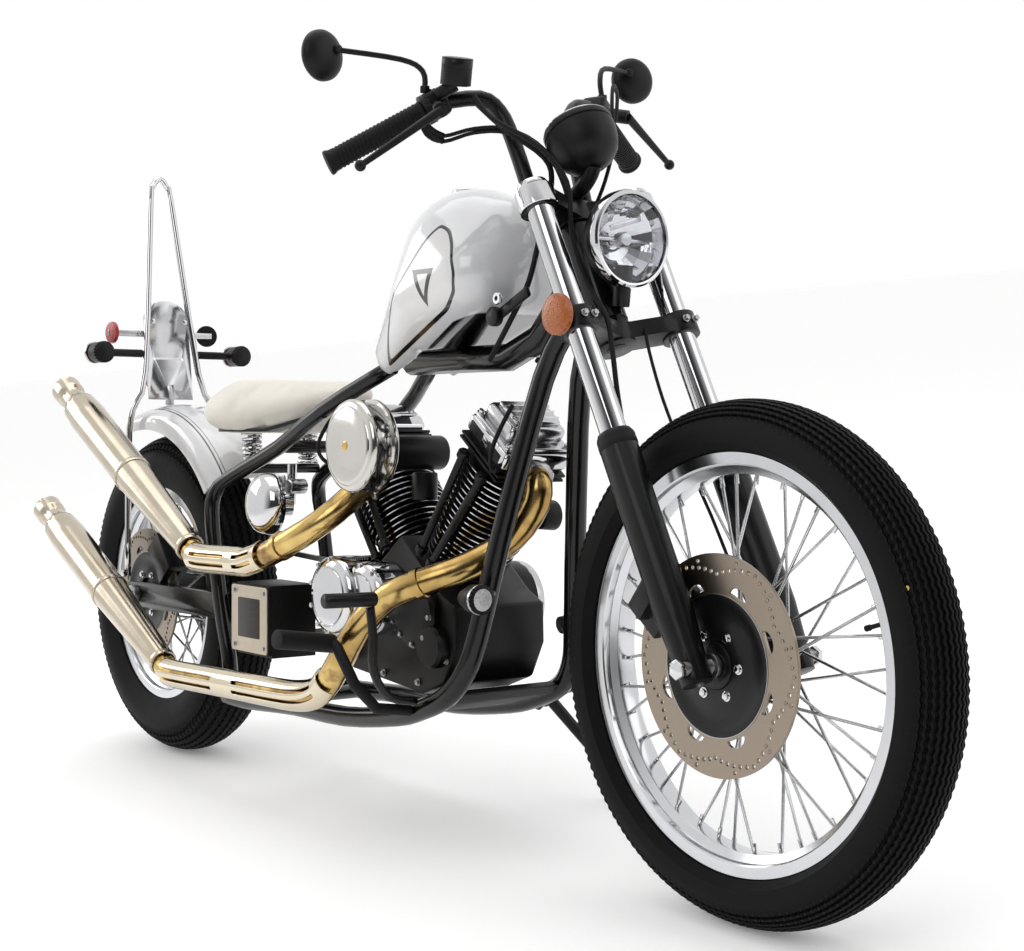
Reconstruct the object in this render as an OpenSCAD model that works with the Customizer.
// Long-fork V-twin chopper motorcycle, parked on its side stand.
// Every sub-part is drawn in the upright motorcycle's own axes: X forward,
// Y to the rider's left, Z up, zero on the floor under the rear axle.
// parked() then leans the whole machine over onto the stand.

/* [Wheels] */
// Distance between the axles
wheelbase = 1648; // [1600:1:1700]
// Outer radius of the front tyre
front_tyre_r = 350.5; // [345:0.5:356]
// Width of the front tyre
front_tyre_w = 97; // [90:1:104]
// Outer radius of the rear tyre
rear_tyre_r = 325; // [320:0.5:330]
// Width of the rear tyre
rear_tyre_w = 138; // [130:1:142]
// Radius of the front rim over its flanges
front_rim_r = 279.5; // [276:0.5:282]
// Radius of the rear rim over its flanges
rear_rim_r = 216; // [213:0.5:219]
// Radius of the front brake disc
front_disc_r = 147.5; // [140:0.5:150]
// Radius of the rear brake disc
rear_disc_r = 132; // [120:0.5:136]

/* [Fork] */
// Angle of the steering axis from the vertical, in degrees
rake = 27.5; // [26:0.1:29]
// How far the front axle stands in front of the steering axis
clamp_offset = 45; // [42:1:48]
// How far the front axle leads the middle of the fork legs
axle_lead = 6; // [3:1:8]
// Distance between the two legs
fork_spacing = 190; // [188:1:196]
// Diameter of the upper fork tubes
stanchion_d = 39; // [35:1:41]
// Diameter of the lower fork legs
slider_d = 54; // [50:1:58]
// Distance from the axle up to the top of the lower legs
slider_len = 345; // [330:1:360]
// Rise of the left bar end over its reach, the right end's drop
bar_set = 0.12; // [0:0.02:0.14]
// Height of the lower clamp along the steering axis
lower_clamp_s = 523; // [518:1:528]
// Height of the upper clamp along the steering axis
upper_clamp_s = 722; // [716:1:728]

/* [Frame] */
// Diameter of the backbone tube
backbone_d = 44; // [40:1:48]
// Diameter of the down tubes and the lower rails
rail_d = 34; // [30:1:36]
// Half distance between the lower rails
rail_y = 114; // [110:1:118]
// Height of the lower rails under the crankcase
rail_z = 183; // [180:1:186]

/* [Engine] */
// Fore and aft place of the crankshaft
crank_x = 945; // [935:1:955]
// Height of the crankshaft
crank_z = 372; // [365:1:380]
// Angle of each cylinder from the vertical, in degrees
cylinder_angle = 37.5; // [36:0.5:38]
// Radius of the cylinder barrels over their fins
barrel_r = 72; // [68:1:74]

/* [Seat and tank] */
// Length of the seat
seat_l = 440; // [420:5:450]
// Width of the seat
seat_w = 260; // [240:5:270]
// Half width of the fuel tank
tank_half_w = 132; // [125:1:138]

/* [Parking] */
// Lean of the parked motorcycle onto its side stand, in degrees
lean = 8; // [7.5:0.5:8.5]

/* [Hidden] */
$fn = 32;

// Tread crown radii, and the axle heights that let both leaning tyres touch
// the floor.
front_crown = front_tyre_w / 2;
rear_crown = rear_tyre_w / 2;
front_axle_z = front_tyre_r - front_crown + front_crown / cos(lean);
rear_axle_z = rear_tyre_r - rear_crown + rear_crown / cos(lean);

// The bounding box of the parked machine is centred on X = 0 and Y = 0.
shift_x = -(wheelbase + front_tyre_r - rear_tyre_r) / 2;
shift_y = -113;

axle_bore_d = 12;
axle_d = 20;
leg_y = fork_spacing / 2;
leg_x = clamp_offset - axle_lead;
stem_d = 30;
head_tube_d = 60;
head_tube_s0 = lower_clamp_s + 20;
head_tube_s1 = upper_clamp_s - 21;
swingarm_pivot = [400, 0, 332];
front_sprocket = [765, 78, 362];
chain_y = 78;
frame_h = 772;
stand_pivot = [1010, 150, 212];
stand_axis = [0, cos(32), sin(32)];

// ---------------------------------------------------------------- helpers

// The whole motorcycle leans to its left and rests on the floor.
module parked() {
    translate([shift_x, shift_y, 0]) rotate([-lean, 0, 0]) children();
}

// Axes of the steering head: Z up along the stem, X forward of it, and the
// front axle at Z = 0.
module steer() {
    translate([wheelbase, 0, front_axle_z]) rotate([0, -rake, 0])
        translate([-clamp_offset, 0, 0]) children();
}

// A point of the steering head's axes, in the motorcycle's own axes.
function steered(x, y, s) = [
    wheelbase + (x - clamp_offset) * cos(rake) - s * sin(rake), y,
    front_axle_z + (x - clamp_offset) * sin(rake) + s * cos(rake)];

// Wheel axes: Z along the axle to the rider's right, zero on the centre line.
module front_wheel() {
    translate([wheelbase, 0, front_axle_z]) rotate([90, 0, 0]) children();
}
module rear_wheel() {
    translate([0, 0, rear_axle_z]) rotate([90, 0, 0]) children();
}

// The same thing on both sides of the machine.
module both_sides() {
    children();
    mirror([0, 1, 0]) children();
}

// Places a cylinder's axis along the line from a to b.
module along(a, b) {
    v = b - a;
    translate(a) rotate([0, acos(v.z / norm(v)), atan2(v.y, v.x)])
        children();
}
module rod(a, b, d, d2 = 0) {
    along(a, b) cylinder(h = norm(b - a), d1 = d, d2 = d2 > 0 ? d2 : d);
}

// Points of an arc about (cx, cy).
function arc(r, a0, a1, n, cx = 0, cy = 0) = [
    for (i = [0:n]) let (a = a0 + (a1 - a0) * i / n)
        [cx + r * cos(a), cy + r * sin(a)]];

// A smooth run of points through hand-chosen ones (Catmull-Rom).
function spline_at(p, i, t) = let (
        n = len(p) - 1,
        a = p[max(i - 1, 0)], b = p[i], c = p[i + 1], d = p[min(i + 2, n)])
    0.5 * (2 * b + t * (c - a) + t * t * (2 * a - 5 * b + 4 * c - d)
        + t * t * t * (3 * b - a - 3 * c + d));
function spline(p, steps) = concat(
    [for (i = [0:len(p) - 2], k = [0:steps - 1]) spline_at(p, i, k / steps)],
    [p[len(p) - 1]]);
function mirrored(p) = [for (q = p) [q.x, -q.y, q.z]];

// A plate cut to an outline in X and Z, from y0 to y1.
module side_plate(points, y0, y1) {
    translate([0, y1, 0]) rotate([90, 0, 0])
        linear_extrude(height = y1 - y0) polygon(points);
}
// A round boss across the machine.
module cross_cylinder(x, z, y0, y1, d, d2 = 0) {
    translate([x, y1, z]) rotate([90, 0, 0])
        cylinder(h = y1 - y0, d1 = d, d2 = d2 > 0 ? d2 : d);
}

// A round bar, tube or cable swept through a list of points as one closed
// skin. Each ring keeps the turn of the one before it.
function unit(v) = v / norm(v);
function turned(u, t) = unit(u - (u * t) * t);
module bar(path, d, sides = 14) {
    n = len(path);
    t = [for (i = [0:n - 1]) unit(
        (i < n - 1 ? unit(path[i + 1] - path[i]) : [0, 0, 0])
        + (i > 0 ? unit(path[i] - path[i - 1]) : [0, 0, 0]))];
    first = turned(abs(t[0].y) < 0.9 ? [0, 1, 0] : [1, 0, 0], t[0]);
    u = [for (i = 0, v = first; i < n;
              i = i + 1, v = i < n ? turned(v, t[i]) : v) v];
    verts = [for (i = [0:n - 1], k = [0:sides - 1])
        let (a = 360 * k / sides)
        path[i] + d / 2 * (u[i] * cos(a) + cross(t[i], u[i]) * sin(a))];
    faces = concat(
        [[for (k = [0:sides - 1]) k]],
        [for (i = [0:n - 2], k = [0:sides - 1]) let (m = (k + 1) % sides)
            [i * sides + k, (i + 1) * sides + k,
             (i + 1) * sides + m, i * sides + m]],
        [[for (k = [sides - 1:-1:0]) (n - 1) * sides + k]]);
    polyhedron(verts, faces);
}
module cable(points, d) {
    bar(spline(points, 4), d, 8);
}

// ----------------------------------------------------------------- wheels

// A tyre's section is a round crown that closes on the rim's bead seats.
module tyre(r, crown, rim_r, rim_half_w) {
    c = r - crown;
    bead = rim_half_w - 4.5;
    rotate_extrude($fn = 96) polygon(concat(
        [[rim_r - 13, -bead], [rim_r + 1, -bead],
         [rim_r + 2, -rim_half_w - 3]],
        arc(crown, -102, 102, 16, c),
        [[rim_r + 2, rim_half_w + 3], [rim_r + 1, bead],
         [rim_r - 13, bead], [rim_r - 13, bead - 8],
         [rim_r + 4, bead - 5]],
        arc(crown - 12, 105, -105, 12, c),
        [[rim_r + 4, 5 - bead], [rim_r - 13, 8 - bead]]));
}
module rim(r, hw) {
    half = [[r, hw], [r, hw - 4], [r - 13.5, hw - 4], [r - 13.5, hw - 14],
            [r - 23.5, hw - 21]];
    under = [[r - 29.5, hw - 19], [r - 17.5, hw - 13], [r - 17.5, hw]];
    rotate_extrude($fn = 96) polygon(concat(
        half, [for (i = [4:-1:0]) [half[i].x, -half[i].y]],
        [for (i = [2:-1:0]) [under[i].x, -under[i].y]], under));
}
// Crossed wire spokes, trimmed to the hub's flanges and the rim's bed.
module spokes(count, hub_r, hub_y, rim_r, rim_y, cross_angle, d) {
    difference() {
        for (i = [0:count / 4 - 1], side = [-1, 1], lead = [-1, 1]) {
            a = 360 * (4 * i + side + lead * 0.5 + 1) / count;
            y = side * (hub_y + lead * 2.5);
            h = a - lead * cross_angle;
            rod([(hub_r - 3) * cos(h), (hub_r - 3) * sin(h), y],
                [(rim_r + 4) * cos(a), (rim_r + 4) * sin(a), side * rim_y],
                d);
        }
        cylinder(h = 200, r = hub_r, center = true, $fn = 48);
        difference() {
            cylinder(h = 200, r = rim_r + 20, center = true, $fn = 96);
            cylinder(h = 202, r = rim_r, center = true, $fn = 96);
        }
    }
}

module front_tyre() {
    color("#1b1b1b") parked() front_wheel()
        tyre(front_tyre_r, front_crown, front_rim_r, 31);
}
module front_rim() {
    color("silver") parked() front_wheel() rim(front_rim_r, 31);
}
module front_spokes() {
    color("lightgray") parked() front_wheel()
        spokes(40, 52, 36, front_rim_r - 29.5, 5, 34, 4.5);
}
module front_hub() {
    color("#202020") parked() front_wheel() difference() {
        union() {
            cylinder(h = 124, d = 62, center = true);
            for (s = [-1, 1]) translate([0, 0, s * 36])
                cylinder(h = 14, r = 52, center = true, $fn = 48);
        }
        cylinder(h = 140, d = axle_d + 1, center = true);
    }
}
module front_disc() {
    color("#6d655a") parked() front_wheel() translate([0, 0, 54])
        difference() {
            cylinder(h = 5, r = front_disc_r, $fn = 96);
            translate([0, 0, -1]) cylinder(h = 7, d = 63);
        }
}
module rear_tyre() {
    color("#1b1b1b") parked() rear_wheel()
        tyre(rear_tyre_r, rear_crown, rear_rim_r, 49);
}
module rear_rim() {
    color("silver") parked() rear_wheel() rim(rear_rim_r, 49);
}
module rear_spokes() {
    color("lightgray") parked() rear_wheel()
        spokes(40, 66, 44, rear_rim_r - 29.5, 14, 30, 4.5);
}
module rear_hub() {
    color("#202020") parked() rear_wheel() difference() {
        union() {
            cylinder(h = 148, d = 84, center = true);
            for (s = [-1, 1]) translate([0, 0, s * 44])
                cylinder(h = 14, r = 66, center = true, $fn = 48);
        }
        cylinder(h = 160, d = axle_d + 1, center = true);
    }
}
module rear_disc() {
    color("#8d8a80") parked() rear_wheel() translate([0, 0, 74])
        difference() {
            cylinder(h = 5, r = rear_disc_r, $fn = 96);
            translate([0, 0, -1]) cylinder(h = 7, d = axle_d + 12);
        }
}
module rear_sprocket() {
    color("#3a3a3a") parked() rear_wheel() translate([0, 0, -chain_y - 3])
        difference() {
            cylinder(h = 6, r = 98, $fn = 64);
            translate([0, 0, -1]) cylinder(h = 8, d = axle_d + 12);
        }
}

// --------------------------------------------------------- fork and bars

module steering_clamps() {
    color("#2a2a2a") parked() steer() difference() {
        union() {
            translate([0, 0, lower_clamp_s - 22])
                cylinder(h = upper_clamp_s - lower_clamp_s + 38, d = stem_d);
            for (s = [lower_clamp_s - 5, upper_clamp_s]) {
                translate([0, 0, s - 16]) cylinder(h = 32, d = 62);
                both_sides() {
                    translate([leg_x, leg_y, s - 16])
                        cylinder(h = 32, d = stanchion_d + 18);
                    translate([leg_x / 2 + 2, leg_y / 2, s])
                        rotate([0, 0, atan2(leg_y, leg_x)])
                            cube([leg_y * 0.78, 44, 26], center = true);
                }
            }
        }
        both_sides() translate([leg_x, leg_y, 300])
            cylinder(h = 500, d = stanchion_d);
    }
}
module fork_stanchions() {
    color("silver") parked() steer() both_sides()
        translate([leg_x, leg_y, slider_len]) {
            cylinder(h = upper_clamp_s + 20 - slider_len, d = stanchion_d);
            translate([0, 0, upper_clamp_s + 20 - slider_len])
                cylinder(h = 8, d1 = stanchion_d + 6, d2 = 26);
        }
}
module fork_sliders() {
    color("#181818") parked() steer() difference() {
        both_sides() translate([leg_x, leg_y, 0]) {
            translate([0, 0, -20]) cylinder(h = 46, d1 = 42, d2 = 46);
            translate([0, 0, 26]) cylinder(h = 50, d1 = 46, d2 = slider_d);
            translate([0, 0, 76])
                cylinder(h = slider_len - 90, d = slider_d);
            translate([0, 0, slider_len - 14])
                cylinder(h = 14, d1 = slider_d, d2 = slider_d - 6);
        }
        translate([clamp_offset, 0, 0]) rotate([90, 0, 0])
            cylinder(h = 400, d = axle_d + 0.2, center = true);
    }
}
module front_axle() {
    color("silver") parked() front_wheel() difference() {
        union() {
            cylinder(h = 2 * leg_y + 56, d = axle_d, center = true);
            for (s = [-1, 1]) translate([0, 0, s * 67])
                cylinder(h = 8, d = 34, center = true);
        }
        cylinder(h = 400, d = axle_bore_d, center = true);
    }
}

bar_d = 24;
grip_d = 36;
bar_foot_s = upper_clamp_s + 16.2;
bar_path = [steered(-16, 50, bar_foot_s), steered(-16, 50, bar_foot_s + 24),
            [1203, 58, 1092], [1182, 68, 1138], [1168, 94, 1160],
            [1142, 148, 1158], [1064, 292, 1082]];
// The bars are set a little low on the right and high on the left.
function at_side(p, s) =
    [p[0], s * p[1], p[2] + s * bar_set * max(0, p[1] - 60)];
grip_out = bar_path[6];
grip_in = bar_path[5] + 0.16 * (grip_out - bar_path[5]);
grip_dir = unit(grip_out - bar_path[5]);

module handlebar() {
    color("#1c1c1c") parked() for (s = [-1, 1])
        bar(concat([at_side(bar_path[0], s)],
                   spline([for (i = [1:5]) at_side(bar_path[i], s)], 3),
                   [at_side(grip_out, s)]), bar_d, 16);
}
module grips() {
    color("#141414") parked() for (s = [-1, 1]) {
        from = at_side(grip_in, s);
        to = at_side(grip_out, s);
        dir = unit(to - from);
        difference() {
            union() {
                rod(from, to, grip_d);
                rod(to, to + 5 * dir, grip_d + 4);
            }
            rod(from - dir, to + 0.2 * dir, bar_d + 0.4);
        }
    }
}

perch_a = bar_path[5] + 16 * grip_dir;
perch_b = grip_in - 1 * grip_dir;
lever_root = [1190, 180, 1140];
lever_ball = [1157, 298, 1066];
module hand_controls() {
    color("#181818") parked() {
        for (s = [-1, 1]) {
            from = at_side(perch_a, s);
            to = at_side(perch_b, s);
            dir = unit(to - from);
            root = at_side(lever_root, s);
            ball = at_side(lever_ball, s);
            difference() {
                union() {
                    rod(from, to, 46);
                    rod(to - 16 * dir + [14, 0, -2], root, 22);
                }
                rod(from - 40 * dir, to + 10 * dir, bar_d + 0.4);
            }
            rod(root, ball, 14, 9);
            translate(ball) sphere(d = 17);
        }
        // Brake fluid reservoir on the right.
        rod([1178, -146, 1168], [1188, -149, 1206], 46);
        rod([1160, -168, 1152], [1178, -146, 1169], 20);
    }
}

mirror_r = 38;
module mirrors() {
    color("#161616") parked() for (s = [-1, 1]) {
        rise = 18 * s;
        bar(spline([at_side([1136, 172, 1176], s),
                    at_side([1130, 172, 1206], s),
                    [1110, 198 * s, 1228 + rise],
                    [1068, 284 * s, 1238 + rise]], 3), 9, 10);
        translate([1060, 302 * s, 1229 + rise]) rotate([0, 90, -12 * s])
            rotate_extrude($fn = 48) polygon(concat(
                [[0, -8], [mirror_r, -8]],
                [for (a = [0:15:90]) [mirror_r * cos(a), 16 * sin(a)]]));
    }
}

headlight_c = [1384, 0, 932];
module headlight() {
    color("#1a1a1a") parked() {
        translate(headlight_c) rotate([0, 90, 0])
            rotate_extrude($fn = 48) polygon([[0, 32], [30, 31], [64, 26],
                [71, 22], [71, 4], [66, -6], [50, -17], [30, -24],
                [0, -26]]);
        rod([1392, 0, 864], steered(74, 0, lower_clamp_s + 11), 24);
    }
}
pod_c = [1296, 0, 1086];
module instrument_pod() {
    color("#171717") parked() {
        translate(pod_c) rotate([0, -32, 0])
            rotate_extrude($fn = 48) polygon([[0, 26], [50, 26], [54, 22],
                [54, -6], [46, -30], [28, -46], [0, -52]]);
        rod([1322, 0, 1046], steered(22, 0, upper_clamp_s + 30), 26);
    }
}
module front_caliper() {
    color("#151515") parked() front_wheel() difference() {
        rotate([0, 0, 142]) translate([front_disc_r - 22, 0, 57])
            union() {
                cube([56, 84, 38], center = true);
                translate([12, 0, 24]) cube([30, 60, 22], center = true);
            }
        translate([0, 0, 49]) cylinder(h = 15, r = front_disc_r + 5);
        front_leg_space();
    }
}
// The room of the right fork leg, in the front wheel's axes.
module front_leg_space() {
    rotate([-90, 0, 0]) rotate([0, -rake, 0])
        translate([-axle_lead, -leg_y, -60])
            cylinder(h = 600, d = slider_d + 1);
}

// ------------------------------------------------------------------ frame

neck_low = steered(0, 0, head_tube_s0 + 40);
neck_high = steered(0, 0, head_tube_s0 + 100);
module frame_head() {
    color("#161616") parked() {
        difference() {
            union() {
                steer() translate([0, 0, head_tube_s0])
                    cylinder(h = head_tube_s1 - head_tube_s0,
                             d = head_tube_d);
                bar([neck_high - [10, 0, 0], [1200, 0, 800],
                     [1120, 0, frame_h], [850, 0, frame_h]], backbone_d);
                side_plate([[1312, 842], [1270, 882], [1190, 815],
                            [1120, frame_h], [1190, 770], [1270, 790]],
                           -8, 8);
            }
            steer() translate([0, 0, head_tube_s0 - 50])
                cylinder(h = 300, d = stem_d + 2);
        }
    }
}
// Each side of the cradle is one tube, from the head down and back.
cradle_path = [steered(-46, 26, head_tube_s0 + 32), [1251, 36, 735],
               [1196, 72, 500], [1166, 94, 345], [1148, 104, 290],
               [1112, 112, rail_z + 67], [1045, rail_y, rail_z + 39],
               [974, rail_y, rail_z + 20], [823, rail_y, rail_z],
               [660, rail_y, rail_z - 3], [503, rail_y + 2, rail_z - 12],
               [420, rail_y + 4, rail_z - 12]];
module frame_cradle() {
    color("#161616") parked() {
        both_sides() bar(spline(cradle_path, 3), rail_d);
    }
}
module frame_cross_tubes() {
    color("#161616") parked() {
        cross_cylinder(520, rail_z - 11, -rail_y + rail_d / 2 - 1.5,
                       rail_y - rail_d / 2 + 1.5, 26);
        cross_cylinder(545, 628, -67.5, 67.5, 22);
        // Bar that carries the saddle springs.
        cross_cylinder(spring_x, spring_z0 - 9.5, -81, 81, 18);
        // Boss that the side stand turns against.
        rod(stand_pivot - 14 * stand_axis, stand_pivot, 26);
    }
}
loop_path = [[846, 38, 764], [700, 82, 694], [545, 82, 628],
             [400, 96, 574], [356, 112, 540], [360, 119, 480],
             [392, 119, 340], [424, 118, 240],
             [428, 118, rail_z + rail_d / 2 - 11.6]];
module frame_rear_loop() {
    color("#161616") parked() both_sides() bar(spline(loop_path, 3), 28);
}
module cross_plate() {
    color("#1d1d1d") parked() {
        side_plate([[1112, 238], [1130, 254], [1112, 258], [1012, 224],
                    [1016, 210]], -rail_y + 20, rail_y - 20);
    }
}
arm_y0 = 86;
arm_y1 = 102;
arm_outline = [[420, 306], [420, 358], [330, 352], [60, rear_axle_z + 26],
               [-46, rear_axle_z + 22], [-52, rear_axle_z - 20],
               [60, rear_axle_z - 26]];
module swingarm() {
    color("#1a1a1a") parked() difference() {
        union() {
            both_sides() side_plate(arm_outline, arm_y0, arm_y1);
            cross_cylinder(400, 332, 0.2 - arm_y0, arm_y0 - 0.2, 44);
        }
        cross_cylinder(0, rear_axle_z, -200, 200, axle_d);
    }
}
module rear_axle() {
    color("silver") parked() rear_wheel() difference() {
        union() {
            cylinder(h = 2 * arm_y1 + 36, d = axle_d, center = true);
            for (s = [-1, 1]) translate([0, 0, s * (arm_y1 + 7)])
                cylinder(h = 13.5, d = 36, center = true);
        }
        cylinder(h = 400, d = axle_bore_d, center = true);
    }
}

// ----------------------------------------------------------------- engine

crank = [crank_x, 0, crank_z];
function cyl_dir(lean_to) = [lean_to * sin(cylinder_angle), 0,
                             cos(cylinder_angle)];
// Axes of one cylinder: Z up its bore from the crankshaft.
module cylinder_axes(lean_to) {
    translate(crank) rotate([0, lean_to * cylinder_angle, 0]) children();
}
module engine_crankcase() {
    color("#191919") parked() difference() {
        side_plate([[740, 300], [770, 262], [1010, 240], [1070, 262],
                    [1100, 320], [1098, 384], [1060, 402], [crank_x, 490],
                    [830, 402], [800, 440], [740, 436], [716, 400],
                    [712, 330]], -88, 88);
        // Pocket for the front sprocket and the chain.
        translate([690, 72, 250]) cube([128, 40, 250]);
    }
}
module cylinders() {
    color("#202020") parked() for (t = [-1, 1]) cylinder_axes(t) {
            translate([0, 0, 96]) cylinder(h = 6, r = 62);
            for (i = [0:11]) translate([0, 0, 102 + i * 17])
                cylinder(h = 8, r = barrel_r - (i < 3 ? 4 : 0));
            translate([0, 0, 102]) cylinder(h = 199, r = 58);
            translate([-5 * t, 0, 326]) cube([118, 132, 52], center = true);
            translate([-10 * t, 0, 371]) cube([80, 108, 42], center = true);
    }
}
module clutch_cover() {
    color("silver") parked() {
        cross_cylinder(848, 387, -166, -88.2, 132);
        cross_cylinder(916, 386, -150, -88.2, 120);
    }
}
module left_engine_cover() {
    color("#1e1e1e") parked() {
        cross_cylinder(crank_x + 10, crank_z, 88.2, 150, 134);
        cross_cylinder(790, 362, 88.2, 112, 110);
    }
}
module horn() {
    color("#1c1c1c") parked() {
        cross_cylinder(1070, 521, 96, 128, 50, 44);
        cross_cylinder(1070, 521, 72.2, 97, 14);
    }
}
module carburettor() {
    color("#262626") parked() {
        cross_cylinder(crank_x, 622, -140, -8, 56);
        rod([crank_x, -40, 590], [crank_x, -40, 545], 42);
    }
}
air_c = [953, -198, 633];
air_r = 74;
module air_cleaner() {
    color("silver") parked()
        translate([air_c.x, -140.5, air_c.z]) rotate([90, 0, 0])
            rotate_extrude($fn = 64) polygon([[0, 0], [air_r - 3, 0],
                [air_r, 4], [air_r, 44], [air_r - 3, 50],
                [air_r - 10, 52], [air_r - 14, 56], [0, 57.5]]);
}
dome_c = [608, -134, 528];
module dome_cover() {
    color("silver") parked() {
        translate(dome_c) rotate([90, 0, 0])
            rotate_extrude($fn = 48) polygon([[0, 0], [52, 0], [55, 3],
                [55, 12], [52, 20], [44, 29], [30, 35], [14, 38],
                [0, 38.5]]);
        rod([618, -100, 528], [608, -134.2, 528], 40);
        rod([618, -100, 528], [618, -97.2, 600], 18);
    }
}
module side_box() {
    color("#171717") parked() {
        translate([556, -172, 268]) cube([122, 86, 124]);
        translate([548, -178, 272]) cube([128, 6.5, 118]);
    }
}

// ---------------------------------------------------------------- exhaust

pipe_d = 44;
upper_out = [[436, -190, 430], [-146, -190, 741]];
lower_out = [[326, -190, 210], [-246, -190, 492]];
function toward(p, reach) = p[0] + reach * unit(p[1] - p[0]);
front_pipe = [[1193, -8, 587.5], [1206, -9, 576], [1204, -12, 548],
              [1187, -25, 512], [1162, -44, 482], [1146, -72, 462], [1130, -108, 444],
              [1098, -146, 427], [1050, -176, 404], [990, -190, 356],
              [930, -192, 290], [870, -191, 236], [800, -190, 222],
              [500, -190, 213], [380, -190, 210], lower_out[0],
              toward(lower_out, 30)];
rear_pipe = [[836, -80, 566], [834, -97, 558], [824, -136, 524],
             [794, -170, 491], [745, -186, 467], [690, -190, 447], [620, -190, 432],
             [540, -190, 430], [480, -190, 429], upper_out[0],
             toward(upper_out, 30)];
module exhaust_pipes() {
    color("#8a7340") parked() for (p = [front_pipe, rear_pipe])
        bar(spline(p, 2), pipe_d, 16);
}
// Half-round shields over the outer side of both straight runs.
module heat_shields() {
    color("silver") parked() for (run = [
            [[790, -190, 222], [410, -190, 210.5]],
            [[630, -190, 434], [490, -190, 429]]])
        difference() {
            rod(run[0], run[1], pipe_d + 14);
            rod(toward(run, -20), toward([run[1], run[0]], -20),
                pipe_d + 5);
            translate([0, -184, 0]) cube([2000, 200, 900]);
        }
}
// A silencer is a tapered can with a narrower neck and a flared tip.
module silencer(run) {
    from = toward(run, 33);
    n = norm(run[1] - from);
    along(from, run[1]) rotate_extrude($fn = 40) polygon([[0, 0], [23, 0],
        [25, 20], [36, 0.42 * n], [37, 0.8 * n], [34, 0.87 * n],
        [25, 0.9 * n], [24, 0.93 * n], [29, 0.95 * n], [30, n],
        [26, n], [24, 0.94 * n], [0, 0.94 * n]]);
}
module silencers() {
    color("#a79c89") parked() for (run = [upper_out, lower_out])
        silencer(run);
}

// ------------------------------------------------- tank, seat and fender

module fuel_tank() {
    color("whitesmoke") parked() difference() {
        hull() {
            translate([1040, 0, 930]) scale([1.1, 1.1, 1])
                sphere(r = 112, $fn = 32);
            translate([1090, 0, 930]) sphere(r = 96, $fn = 32);
            both_sides() {
                translate([1110, 62, 900]) sphere(r = 66, $fn = 32);
                translate([1000, 70, 870]) sphere(r = 62, $fn = 32);
                translate([878, 44, 786]) sphere(r = 42, $fn = 32);
            }
            translate([850, 0, 800]) sphere(r = 40, $fn = 32);
        }
        // Tunnel over the backbone and the seat tubes.
        translate([700, -60, 500]) cube([600, 120, 286]);
        translate([960, -200, 500]) cube([400, 400, 286]);
        translate([1010, 0, 1028]) cylinder(h = 60, d = 60);
        rod([1300, 0, frame_h], [700, 0, frame_h], backbone_d + 1);
        rod([1120, 0, frame_h], [1200, 0, 800], backbone_d + 1);
    }
}
module fuel_cap() {
    color("silver") parked() translate([1010, 0, 1028.2])
        cylinder(h = 15, d1 = 59, d2 = 54);
}
seat_x0 = 250;
module seat_pad() {
    color("#e6dfcf") parked() hull() {
        translate([seat_x0 + seat_w / 2, 0, 692])
            rotate_extrude() translate([seat_w / 2 - 30, 0])
                circle(r = 30);
        translate([seat_x0 + seat_w / 2 - 10, 0, 715])
            cylinder(h = 28, r1 = 90, r2 = 70);
        translate([seat_x0 + seat_l - 40, 0, 722])
            rotate_extrude() translate([30, 0]) circle(r = 13);
    }
}
pan_z = 655;
module seat_pan() {
    color("#151515") parked() intersection() {
        side_plate([[seat_x0 + 20, pan_z], [seat_x0 + 232, pan_z],
                    [seat_x0 + 420, pan_z + 43],
                    [seat_x0 + 420, pan_z + 48.5],
                    [seat_x0 + 230, pan_z + 6], [seat_x0 + 20, pan_z + 6]],
                   -seat_w / 2, seat_w / 2);
        linear_extrude(height = 900) hull() {
            translate([seat_x0 + seat_w / 2, 0]) circle(r = seat_w / 2 - 26);
            translate([seat_x0 + seat_l - 52, 0]) circle(r = 32);
        }
    }
}
module seat_springs() {
    color("silver") parked() both_sides()
        rod([spring_x, spring_y, spring_z0], [spring_x - 4, spring_y, 653],
            42);
}
spring_x = 404;
spring_y = 60;
spring_z0 = 596;
fender_y = 84;
module rear_fender() {
    color("white") parked() rear_wheel() rotate([0, 0, 39])
        rotate_extrude(angle = 66, $fn = 96) polygon(concat(
            [[rear_tyre_r + 8, -fender_y], [rear_tyre_r + 8, -fender_y + 3]],
            [for (i = [0:12]) let (a = -90 + 15 * i)
                [345 + 37 * cos(a), (fender_y - 3) * sin(a)]],
            [[rear_tyre_r + 8, fender_y - 3], [rear_tyre_r + 8, fender_y]],
            [for (i = [12:-1:0]) let (a = -90 + 15 * i)
                [346 + 40 * cos(a), fender_y * sin(a)]]));
}
sissy_path = [[-30, 108, 360], [-42, 100, 620], [-40, 92, 700],
              [-48, 60, 780], [-98, 24, 1130], [-104, 16, 1168],
              [-107, 0, 1186]];
module sissy_bar() {
    color("silver") parked() bar(spline(concat(
        [for (i = [0:6]) sissy_path[i]],
        [for (i = [5:-1:0]) [sissy_path[i].x, -sissy_path[i].y,
                             sissy_path[i].z]]), 3), 13, 12);
}
module plate_bracket() {
    color("silver") parked() difference() {
        union() {
            translate([-51, 0, 722]) rotate([0, -98, 0])
                linear_extrude(height = 4) {
                    translate([0, -50]) square([168, 100]);
                    translate([168, 0]) scale([0.8, 1]) circle(r = 50);
                }
            rod([-60, 0, 752], [-58, 0, 711], 18);
        }
        for (y = [-32, 32]) translate([-110, y, 800]) rotate([0, 82, 0])
            cylinder(h = 100, d = 7);
    }
}
module tail_light() {
    color("firebrick") parked()
        translate([-72.5, 0, 772]) rotate([0, -98, 0])
            cylinder(h = 46, d1 = 52, d2 = 60);
}
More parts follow.
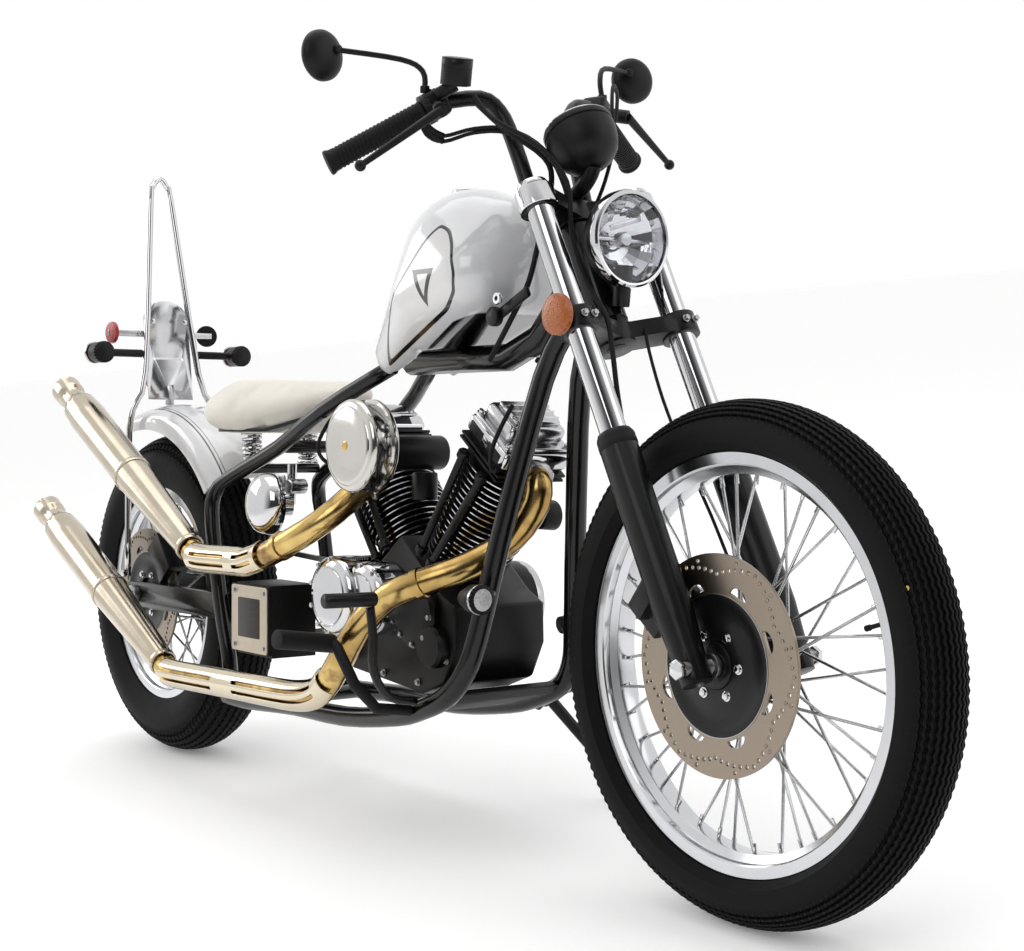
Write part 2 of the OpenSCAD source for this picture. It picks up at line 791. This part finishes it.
module indicators() {
    color("#151515") parked() both_sides() {
        rod([-56, 64, 816], [-58, 138, 816], 16);
        translate([-60, 156, 816]) rotate([0, 90, 0])
            rotate_extrude() polygon([[0, -32], [12, -26], [21, -8],
                [22, 26], [0, 30]]);
        rod([1200, 92, 414], [1226, 124, 412], 12);
        translate([1232, 146, 411]) rotate([0, 90, 0])
            rotate_extrude() polygon([[0, -36], [12, -28], [21, -6],
                [22, 18], [0, 22]]);
    }
}

// --------------------------------------------------------- foot controls

peg = [965, 0, 326];
module footpegs() {
    color("#161616") parked() both_sides() {
        bar([[1040, rail_y + rail_d / 2 + 1, 222], [1034, 190, 230],
             [1026, 224, 268], [984, 230, 322], [974, 230, 326]], 18);
        rod([peg.x, 228, peg.z], [peg.x + 8, 330, peg.z + 14], 30);
    }
}
module brake_pedal() {
    color("#161616") parked() {
        rod([1094, -234, 405], [1108, -326, 408], 22);
        bar(spline([[1094, -240, 393.5], [1096, -236, 350], [1092, -232, 296],
                    [1070, -190, 252], [1062, -137, 240]], 3), 14, 10);
    }
}
module gear_lever() {
    color("#161616") parked() {
        rod([1112, 232, 356], [1118, 306, 358], 20);
        bar(spline([[1112, 240, 345.5], [1100, 234, 320], [1082, 222, 284],
                    [1070, 190, 252], [1062, 137, 240]], 3), 14, 10);
    }
}
module drive_chain() {
    color("#3c3c3c") parked()
        translate([0, chain_y + 4, 0]) rotate([90, 0, 0])
            linear_extrude(height = 8) difference() {
                hull() {
                    translate([0, rear_axle_z]) circle(r = 114, $fn = 64);
                    translate([front_sprocket.x, front_sprocket.z])
                        circle(r = 40);
                }
                hull() {
                    translate([0, rear_axle_z]) circle(r = 104, $fn = 64);
                    translate([front_sprocket.x, front_sprocket.z])
                        circle(r = 30);
                }
            }
}
module rear_caliper() {
    color("#171717") parked() rear_wheel() difference() {
        rotate([0, 0, 40]) translate([rear_disc_r - 16, 0, 77])
            cube([64, 84, 46], center = true);
        translate([0, 0, 68]) cylinder(h = 17, r = rear_disc_r + 6);
        translate([0, 0, arm_y0 - 0.5]) cylinder(h = 17, r = 100);
        rotate([-90, 0, 0]) translate([0, 0, -rear_axle_z])
            mirror([0, 1, 0])
                side_plate(arm_outline, arm_y0 - 1, arm_y1 + 1);
    }
}

// ------------------------------------------------------------- side stand

stand_foot_y = 285;
stand_foot = [1085, stand_foot_y, stand_foot_y * tan(lean) + 9];
module side_stand() {
    color("#1a1a1a") parked() {
        rod(stand_pivot + 0.5 * stand_axis, stand_pivot + 24 * stand_axis,
            34);
        rod(stand_pivot + 13 * stand_axis, stand_foot, 20, 16);
        translate(stand_foot) rotate([lean, 0, 0])
            translate([0, 0, -9]) cylinder(h = 8, d = 58);
    }
}

// ----------------------------------------------------------------- cables

hose_path = [[1212, -136, 1148], [1244, -128, 1112], [1296, -84, 1070],
             [1332, -58, 1016], [1344, -58, 940], [1376, -58, 872],
             [1424, -60, 818], [1442, -64, 770], [1458, -66, 700],
             [1490, -68, 590], [1522, -80, 505], [1536, -84, 480]];
module brake_hose() {
    color("#121212") parked() cable(hose_path, 8);
}
cable_path = [[1210, 128, 1136], [1238, 100, 1100], [1262, 44, 1060],
              [1258, 28, 1020], [1237, 32, 950], [1222, 42, 880],
              [1190, 48, 830], [1130, 46, 766]];
module control_cables() {
    color("#121212") parked() {
        cable(cable_path, 9);
        cable(mirrored(cable_path), 9);
    }
}

frame_head();
frame_cradle();
frame_cross_tubes();
frame_rear_loop();
cross_plate();
swingarm();
engine_crankcase();
cylinders();
clutch_cover();
left_engine_cover();
horn();
carburettor();
air_cleaner();
dome_cover();
side_box();
exhaust_pipes();
heat_shields();
silencers();
fuel_tank();
fuel_cap();
seat_pad();
seat_pan();
seat_springs();
rear_fender();
sissy_bar();
plate_bracket();
tail_light();
indicators();
footpegs();
brake_pedal();
gear_lever();
drive_chain();
rear_axle();
rear_caliper();
side_stand();
steering_clamps();
fork_stanchions();
fork_sliders();
front_axle();
handlebar();
grips();
hand_controls();
mirrors();
headlight();
instrument_pod();
front_caliper();
brake_hose();
control_cables();
front_tyre();
front_rim();
front_spokes();
front_hub();
front_disc();
rear_tyre();
rear_rim();
rear_spokes();
rear_hub();
rear_disc();
rear_sprocket();
